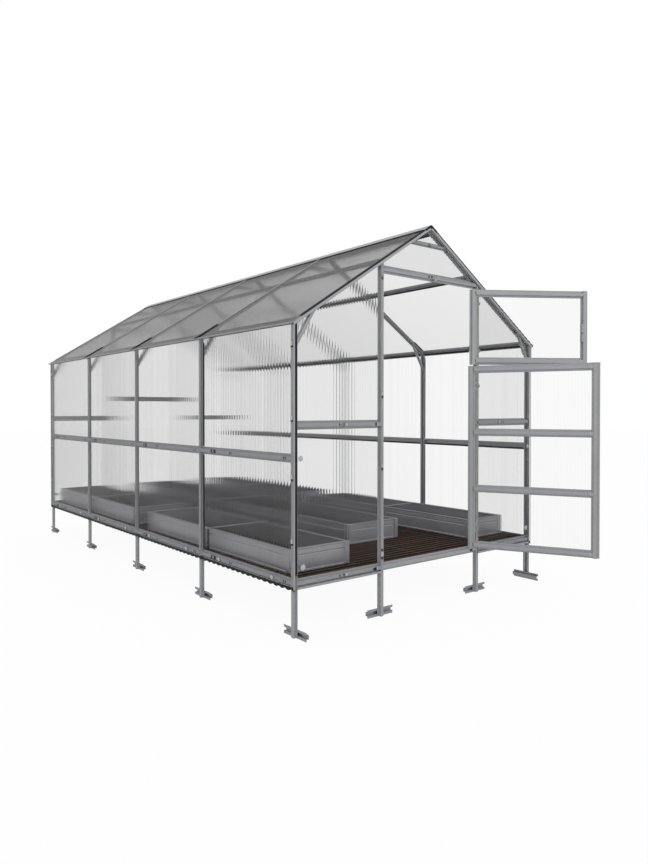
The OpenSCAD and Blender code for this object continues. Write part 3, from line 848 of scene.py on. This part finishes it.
def wall_fasteners(kit):
    """On the side walls: in every bay washers on the base rail, two pairs of slots and a bolted
    pad on both rails; and clips with a slot below on the corner posts."""
    pad_start, pad_length, pad_thick = 0.8, 0.055, 0.0022
    washers_along, slots_along, slots_apart = (0.183, 0.755), (0.07, 0.625), 0.009
    clip_heights, clip_recess, clip_reach = [0.51, 0.85, 1.16, 1.55], 0.002, 0.011
    bolts, discs, mouths = kit["frame_bolts"], kit["sealing_washers"], kit["rail_slots"]
    starts = frames()[:-1]
    pairs = [along + shift for along in slots_along for shift in (-slots_apart, slots_apart)]
    for wall, out in SIDES:
        face, crown = wall + out[0] * (FACE + HAIR), wall + out[0] * (DEPTH + HAIR / 2)
        along = np.add.outer(starts, washers_along).ravel()
        places = spots(face, along, BASE_RAIL)
        discs.append(sheet_screws(places, out, sizes().washer))
        rails = [SIDE_RAIL, BASE_RAIL]
        places = spots(crown, np.add.outer(starts, pairs).ravel(), rails)
        mouths.append(slots(0.0045, places, 0.007, Y, out))
        places = spots(crown, starts + pad_start, rails)
        pad = plate_section(0.01, pad_thick)
        kit["rail_tie_pads"].append(bars(pad, places, places + pad_length * Y, Z, out))
        places = places + pad_length / 2 * Y + pad_thick * out
        bolts.append(hex_bolts(places, out, sizes().bolt * 0.8))
        places = spots(wall + out[0] * (DEPTH - clip_recess), [FRONT, REAR], clip_heights)
        discs.append(plates(0.009, 0.009, places, clip_reach, Y, out))
        places = places - 0.01625 * Z
        mouths.append(plates(0.0085, 0.0085, places, 0.00475, Y, out))


def gable_fasteners(kit):
    """On the gables: washers by the corners, bolts, washers, slots and a plate on the door posts,
    bolts between slots on the rails, and what holds the lintel and the tie."""
    corner_washers = (0.036, 0.37), (0.02, SIDE_RAIL)
    post_washers, post_bolt, post_plate = [0.876, 1.295], 1.982, 0.364
    post_slots = [0.3395, 0.3875, 0.8585, 1.2775, 1.9645]
    big_washer, small_washer = sizes().washer * 1.35, sizes().washer * 0.8
    big_bolt, small_bolt = sizes().bolt * 1.2, sizes().bolt * 0.6
    bolts, discs, mouths = kit["frame_bolts"], kit["sealing_washers"], kit["rail_slots"]
    for gable, out in GABLES:
        face, crown = gable + out[1] * (FACE + HAIR), gable + out[1] * (DEPTH + HAIR / 2)
        for inset, height in corner_washers:
            places = spots([LEFT + inset, RIGHT - inset], face, height)
            discs.append(sheet_screws(places, out, big_washer))

        # Door posts: the front's right-hand one carries the leaves' hinges instead
        posts = [DOOR_LEFT] if gable == FRONT else [DOOR_LEFT, DOOR_RIGHT]
        discs.append(sheet_screws(spots(posts, crown, post_washers), out, small_washer))
        bolts.append(hex_bolts(spots(posts, crown, post_bolt), out, big_bolt))
        discs.append(plates(0.009, 0.004, spots(posts, crown, post_plate), 0.012, X, out))
        mouths.append(slots(0.008, spots(posts, crown, post_slots), 0.0065, X, out))
        places = spots([DOOR_LEFT - 0.06, DOOR_RIGHT - 0.06], crown, BASE_RAIL - 0.002)
        mouths.append(slots(0.011, places, 0.007, X, out))

        # Rails of the side panels: a bolt between slots in the middle, a slot and clip at the end
        half_panel = (DOOR_LEFT - LEFT) / 2
        rails = np.array([BASE_RAIL, GABLE_RAIL])
        for x, way in ((LEFT + half_panel, 1), (RIGHT - half_panel, -1)):
            end = x + way * (half_panel - PROFILE / 2 - 0.026)
            mouths.append(slots(0.006, spots(end, crown, rails), 0.008, X, out))
            places = spots(end + way * 0.011, crown, rails - 0.001)
            discs.append(plates(0.004, 0.002, places, 0.007, X, out))
            bolts.append(hex_bolts(spots(x, crown, rails), out, big_bolt))
            discs.append(sheet_screws(spots(x + way * 0.03, face, rails), out, small_washer))
            places = spots([x - 0.014, x + 0.014], crown, rails)
            mouths.append(slots(0.0035, places, 0.006, X, out))

        # Lintel: two slots and a clip. Tie: a bolt on a dark plate
        places = spots([MIDDLE - 0.013, MIDDLE + 0.013], crown, LINTEL)
        mouths.append(slots(0.0055, places, 0.008, X, out))
        places = spots(MIDDLE + 0.047, crown, LINTEL - 0.004)
        kit["corner_highlight_plates"].append(plates(0.012, 0.003, places, 0.02, X, out))
        tie_depth, plate_thick = 0.0101, 0.0006
        places = spots(MIDDLE, gable + out[1] * tie_depth, TIE)
        mouths.append(slots(0.011, places, 0.008, X, out))
        bolts.append(hex_bolts(places + plate_thick * out, out, small_bolt))


class GREENHOUSE_OT_fasteners(bpy.types.Operator):
    """Adds the bolts with their tie pads, the slots, the clips and the sealing washers"""

    bl_idname = "greenhouse.fasteners"
    bl_label = "Fasteners"

    def execute(self, context):
        looks = {
            "frame_bolts": (fitting(), 30),
            "rail_tie_pads": (tape(), None),
            "sealing_washers": (washer(), 35),
            # The slots' black mouths are painted shade
            "rail_slots": (tape(), None),
            "corner_highlight_plates": (fitting(), None),
        }
        kit = {name: [] for name in looks}
        wall_fasteners(kit)
        gable_fasteners(kit)
        for name, (material, smooth) in looks.items():
            add_piece(name, kit[name], material, smooth=smooth)
        return {"FINISHED"}


# ---- the floor ----


class GREENHOUSE_OT_floor(bpy.types.Operator):
    """Builds the floor of separate boards with eased edges"""

    bl_idname = "greenhouse.floor"
    bl_label = "Floor boards"

    def execute(self, context):
        deck_low, deck_high = low["floor_deck"], high["floor_deck"]
        gap, span = sizes().board_gap, deck_high[1] - deck_low[1] + sizes().board_gap
        count = int(span / sizes().board)
        pitch = span / count
        half, thick, ease = (pitch - gap) / 2, deck_high[2] - deck_low[2], 0.003
        edge = [(half, thick - ease), (half - ease * 0.3, thick - ease * 0.3), (half - ease, thick)]
        section = [(-half, 0), (half, 0), *edge, *[(-u, v) for u, v in edge[::-1]]]
        centres = deck_low[1] + half + np.arange(count) * pitch
        starts = spots(deck_low[0], centres, deck_low[2])
        ends = starts + (deck_high[0] - deck_low[0]) * X
        timber = stained_timber("dark_stained_spruce", colours().timber)
        boards = add_piece("floor_boards", [bars(section, starts, ends, Y, Z)], timber)
        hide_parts("floor_deck")

        # Two screws in each board over each joist
        first, last = low["floor_joists"][0], high["floor_joists"][0] - PROFILE
        joists = first + PROFILE / 2 + np.arange(3) * (last - first) / 2
        rows = np.concatenate([centres - half * 0.5, centres + half * 0.5])
        head = [(0.0035, -0.001), (0.0035, 0.0003), (0.002, 0.0006)]
        heads = turned(head, spots(joists, rows, deck_high[2]), Z, segments=8)
        add_piece("floor_screws", [heads], fitting())
        return {"FINISHED"}


# ---- the raised beds ----

BEDS = ("left_front_bed", "left_rear_bed", "middle_bed", "right_front_bed", "right_rear_bed")


def bed_section(height):
    """Section of a bed's folded board, u inwards from its outer face and v up: a foot fold, a
    groove two thirds of the way up, and a lip rolled over 18 mm inwards."""
    h, skin, inset, groove, lip, rolled = height, 0.008, 0.003, 0.0065, 0.018, 0.0165
    return [
        (0, 0), (0, 0.009), (inset, 0.011), (inset, h * 0.665), (groove, h * 0.685),
        (groove, h * 0.715), (inset, h * 0.735), (inset, h - 0.008), (0, h - 0.006), (0, h),
        (lip, h), (lip, h - 0.008), (rolled, h - 0.008), (rolled, h - 0.0015),
        (skin, h - 0.0015), (skin, 0),
    ]


class GREENHOUSE_OT_beds(bpy.types.Operator):
    """Builds the raised beds of folded boards with a groove, a rolled lip and corner angles"""

    bl_idname = "greenhouse.beds"
    bl_label = "Raised beds"

    def execute(self, context):
        leg, thick, clear = 0.03, 0.0015, 0.002
        strap, strap_in = oblong(-0.015, 0.015, -0.002, 0), 0.006
        cover, under_lip = oblong(-0.02, 0.02, 0, thick), 0.009
        board = galvanised_steel("galvanised_bed_board", colours().beds, 0.35, 0.7)
        # The covers over the boards' joints are a darker, duller grey than the boards
        retinted = galvanised_steel("dark_bed_joint_cover", colours().bed_cover, 0.5, 0.5)
        corner = [(-thick, -thick), (leg, -thick), (leg, 0), (0, 0), (0, leg), (-thick, leg)]
        covers = []
        for name in BEDS:
            a, b = low[name], high[name]
            height, middle = b[2] - a[2], (a[1] + b[1]) / 2
            parts = [framed(bed_section(height), a, b)]
            for x, inward_x in ((a[0], X), (b[0], -X)):
                for y, inward_y in ((a[1], Y), (b[1], -Y)):
                    at = np.array([x, y, a[2]])
                    ends = at + clear * Z, at + (height - clear) * Z
                    parts.append(bars(corner, *ends, inward_x, inward_y))
                # The cover of the boards' joint in the middle of each long side
                at = np.array([x, middle, a[2]]) + 0.0005 * inward_x
                ends = at + clear * Z, at + (height - under_lip) * Z
                covers.append(bars(cover, *ends, Y, -inward_x))
            at = np.array([0, middle, b[2] - clear])
            ends = at + (a[0] + strap_in) * X, at + (b[0] - strap_in) * X
            parts.append(bars(strap, *ends, Y, Z))
            bed = add_piece(name + "_boards", parts, board)
            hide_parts(name)
        add_piece("bed_joint_covers", covers, retinted)
        return {"FINISHED"}


# ---- the door leaves ----


class GREENHOUSE_OT_leaves(bpy.types.Operator):
    """Adds pale plates and black slivers on the two leaves' rails: a painted highlight on the ends
    of the rails' crowns by the free stile, and painted shade in the gap at the rails' ends by the
    hinge
    """

    bl_idname = "greenhouse.leaves"
    bl_label = "Door leaves"

    def execute(self, context):
        pane_pitch, slot_reach, clip_reach = 0.364, 0.01, 0.011
        for leaf, rails in (("lower", 4), ("upper", 2)):
            pin, along, inner, near, far, _, back = leaf_sheet(leaf)
            foot, head = low[leaf + "_leaf_sheet"][2], high[leaf + "_leaf_sheet"][2]
            heights = foot + PROFILE / 2 + pane_pitch * np.arange(rails)
            heights[-1] = head - PROFILE / 2
            crown = pin + (back + DEPTH + HAIR / 2) * inner + heights[:, None] * Z
            # Painted shade: black slivers for the gap at the rails' ends by the hinge
            places = crown + (near + PROFILE / 2 + CROWN / 2 + 0.002) * along
            mouths = slots(0.002, places, slot_reach, along, inner)
            # Painted highlight: pale plates for the lit ends of the rails' crowns by the free stile
            places = crown + (far - PROFILE - 0.003) * along - 0.002 * inner
            clips = plates(0.003, 0.004, places, clip_reach, along, inner)
            leaf += "_leaf"
            add_piece(leaf + "_highlight_plates", [clips], washer(), body=leaf)
            add_piece(leaf + "_slots", [mouths], tape(), body=leaf)
        return {"FINISHED"}


# ---- the stage ----


def pale_floor(tint):
    """Pale studio floor: matt paint that takes the object's soft shade, white to the eye, and
    dimmer in what the steel mirrors."""
    bright, own_light, mirrored_light = (1, 1, 1, 1), 0.95, 0.45
    material, tree, out = new_material("pale_studio_floor")
    path = add(tree, "LightPath")
    eye, glossy, beyond = (path[f"Is {ray} Ray"] for ray in ("Camera", "Glossy", "Transmission"))
    seen = add(tree, "Math", (eye, beyond), operation="MAXIMUM")[0]
    share = add(tree, "Math", (seen, own_light), operation="MULTIPLY")[0]
    mirrored = add(tree, "Math", (glossy, beyond), operation="SUBTRACT")[0]
    matt = add(tree, "BsdfDiffuse", (tuple(tint),))[0]
    glow, dim = (add(tree, "Emission", (bright, light))[0] for light in (1.0, mirrored_light))
    lit = add(tree, "MixShader", (share, matt, glow))[0]
    tree.links.new(add(tree, "MixShader", (mirrored, lit, dim))[0], out.inputs[0])
    return material


def studio_world():
    """White behind the object, softer as light on it, and dim at the studio's far end in what the
    steel mirrors, so that the folds of the profiles part from their flats."""
    bright, soft_light, near_light, far_light = (1, 1, 1, 1), 0.8, 0.6, 0.13
    world = bpy.data.worlds.new("studio")
    world.use_nodes = True
    tree = world.node_tree
    tree.nodes.clear()
    out = tree.nodes.new("ShaderNodeOutputWorld")
    path = add(tree, "LightPath")
    eye, glossy, beyond = (path[f"Is {ray} Ray"] for ray in ("Camera", "Glossy", "Transmission"))
    way = add(tree, "TexCoord")["Generated"]
    far = add(tree, "VectorMath", (way, (0.7, 0.71, 0.0)), operation="DOT_PRODUCT")["Value"]
    level = (far, 0.55, 1.0, near_light, far_light)
    level = add(tree, "MapRange", level, interpolation_type="SMOOTHSTEP")[0]
    soft, room, white = (
        add(tree, "Background", (bright, light))[0] for light in (soft_light, level, 1.0)
    )
    seen = add(tree, "Math", (eye, beyond), operation="MAXIMUM")[0]
    lit = add(tree, "MixShader", (glossy, soft, room))[0]
    tree.links.new(add(tree, "MixShader", (seen, lit, white))[0], out.inputs[0])
    return world


class GREENHOUSE_OT_stage(bpy.types.Operator):
    """Sets the floor, the soft light and the camera"""

    bl_idname = "greenhouse.stage"
    bl_label = "Stage"

    def execute(self, context):
        scene = context.scene
        scene.view_settings.view_transform = "Standard"
        scene.world = studio_world()

        # Floor: a wide square, a millimetre below the feet
        reach = [-40.0, 40.0]
        mesh = bpy.data.meshes.new("stage_floor")
        mesh.from_pydata(spots(reach, reach, -0.001).tolist(), [], [[0, 2, 3, 1]])
        mesh.materials.append(pale_floor(colours().floor))
        floor = bpy.data.objects.new("stage_floor", mesh)
        scene.collection.objects.link(floor)

        # Softbox: a wide lamp, high up at the front left
        lamp = bpy.data.lights.new("softbox", "SUN")
        lamp.energy, lamp.angle = 0.7, math.radians(40)
        key = bpy.data.objects.new("softbox", lamp)
        key.rotation_euler = (math.radians(38), math.radians(-22), 0)
        scene.collection.objects.link(key)

        # Camera: standing off the front-left corner, at the eye level of someone crouching
        eye = bpy.data.cameras.new("camera")
        eye.lens, eye.sensor_width = 28.389, 36.0
        eye.shift_x, eye.shift_y = 0.0047, -0.0151
        camera = bpy.data.objects.new("camera", eye)
        camera.location = (LEFT - 2.1264, FRONT - 2.8864, 1.1972)
        camera.rotation_euler = (math.pi / 2 - 0.0120, 0, -0.6718)
        scene.collection.objects.link(camera)
        scene.camera = camera
        return {"FINISHED"}


# ---- the add-on ----

STEPS = (
    GREENHOUSE_OT_steel,
    GREENHOUSE_OT_glazing,
    GREENHOUSE_OT_edges,
    GREENHOUSE_OT_shade_strips,
    GREENHOUSE_OT_roof_trim,
    GREENHOUSE_OT_fasteners,
    GREENHOUSE_OT_floor,
    GREENHOUSE_OT_beds,
    GREENHOUSE_OT_leaves,
    GREENHOUSE_OT_stage,
)


class GREENHOUSE_PT_panel(bpy.types.Panel):
    """Lists the greenhouse's settings and its pieces"""

    bl_label = "Greenhouse"
    bl_idname = "GREENHOUSE_PT_panel"
    bl_space_type = "VIEW_3D"
    bl_region_type = "UI"
    bl_category = "Greenhouse"

    def draw(self, context):
        for group in (context.scene.greenhouse_sizes, context.scene.greenhouse_colours):
            column = self.layout.column(align=True)
            for name in group.bl_rna.properties.keys():
                if name not in ("rna_type", "name"):
                    column.prop(group, name)
        for step in STEPS:
            self.layout.operator(step.bl_idname)


CLASSES = (GreenhouseSizes, GreenhouseColours, *STEPS, GREENHOUSE_PT_panel)


def register():
    for c in CLASSES:
        bpy.utils.register_class(c)
    bpy.types.Scene.greenhouse_sizes = PointerProperty(type=GreenhouseSizes)
    bpy.types.Scene.greenhouse_colours = PointerProperty(type=GreenhouseColours)


def unregister():
    del bpy.types.Scene.greenhouse_colours
    del bpy.types.Scene.greenhouse_sizes
    for c in reversed(CLASSES):
        bpy.utils.unregister_class(c)


def main():
    register()
    bpy.ops.greenhouse.steel()
    bpy.ops.greenhouse.glazing()
    bpy.ops.greenhouse.edges()
    bpy.ops.greenhouse.seals()
    bpy.ops.greenhouse.roof_trim()
    bpy.ops.greenhouse.fasteners()
    bpy.ops.greenhouse.floor()
    bpy.ops.greenhouse.beds()
    bpy.ops.greenhouse.leaves()
    bpy.ops.greenhouse.stage()


if __name__ == "__main__":
    main()
